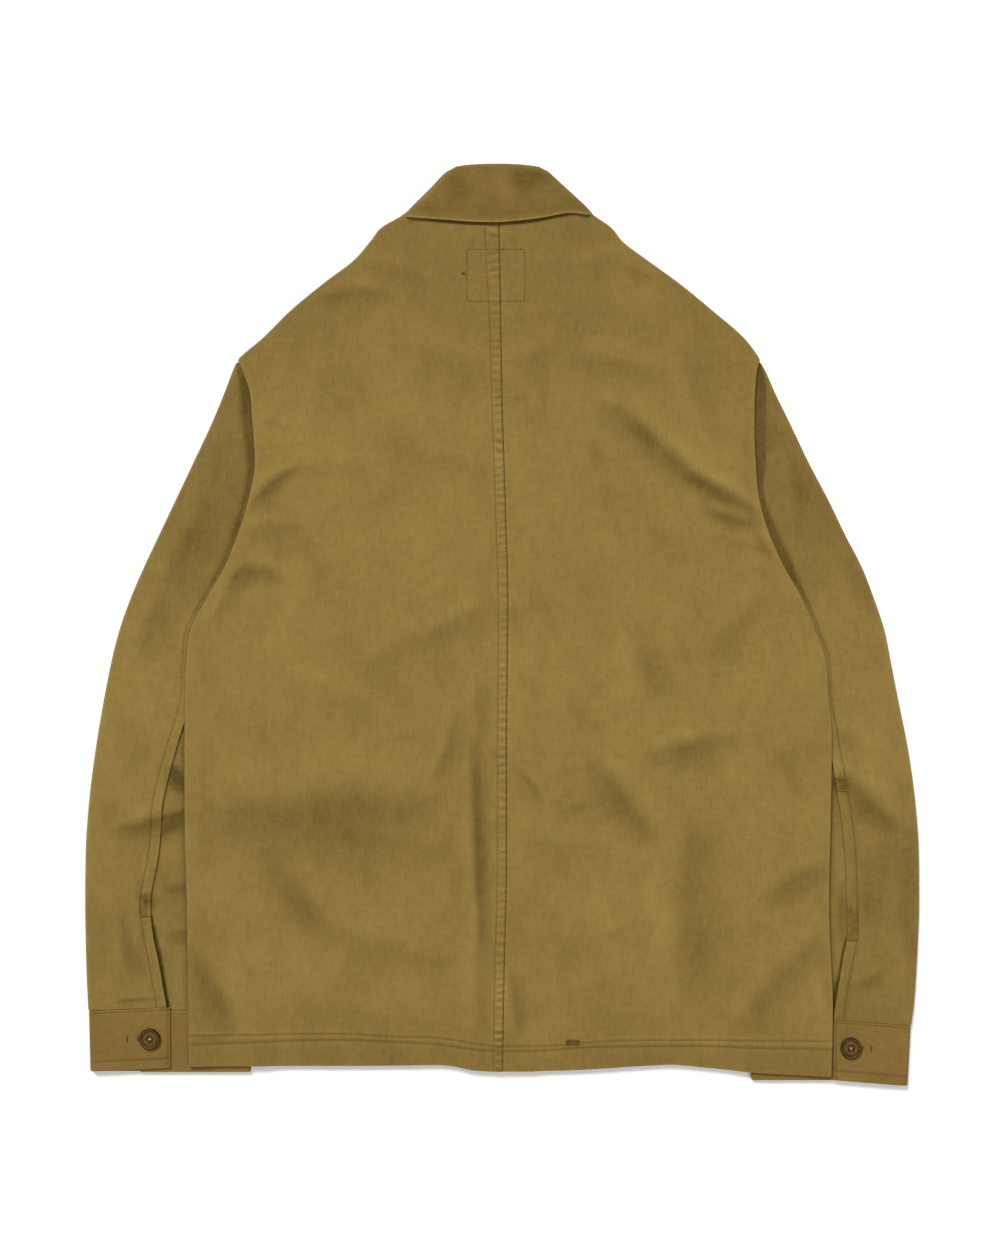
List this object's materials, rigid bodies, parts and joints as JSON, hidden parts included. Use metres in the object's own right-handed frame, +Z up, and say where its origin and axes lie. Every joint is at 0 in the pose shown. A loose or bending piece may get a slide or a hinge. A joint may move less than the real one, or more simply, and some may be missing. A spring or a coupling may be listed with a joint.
{
  "type": "coverall jacket",
  "caption": "Plain collared cotton work jacket laid flat on its front, back up, with buttoned cuffs and sleeves tucked under the body.",
  "frame": {"origin": "centre of the garment's outline on the surface it lies on", "axes": "+X towards the wearer's right side, +Y towards the collar, +Z up out of the back"},
  "size_m": [0.7088, 0.784, 0.013],
  "materials": {
    "body_cloth": "matt khaki cotton drill, soft and a little washed",
    "sleeve_cloth": "matt khaki cotton drill",
    "trim_cloth": "matt khaki cotton drill, doubled and firm",
    "button": "satin brown four-hole button"
  },
  "bodies": {
    "root": {"back_left": "body_cloth", "back_right": "body_cloth", "front_left": "body_cloth", "front_right": "body_cloth", "top_sleeve_left": "sleeve_cloth", "top_sleeve_right": "sleeve_cloth", "under_sleeve_left": "sleeve_cloth", "under_sleeve_right": "sleeve_cloth", "cuff_left": "trim_cloth", "cuff_right": "trim_cloth", "collar_top": "trim_cloth", "collar_under": "trim_cloth", "cuff_button_left": "button", "cuff_button_right": "button", "front_button_1": "button", "front_button_2": "button", "front_button_3": "button", "front_button_4": "button", "front_button_5": "button"}
  },
  "joints": []
}
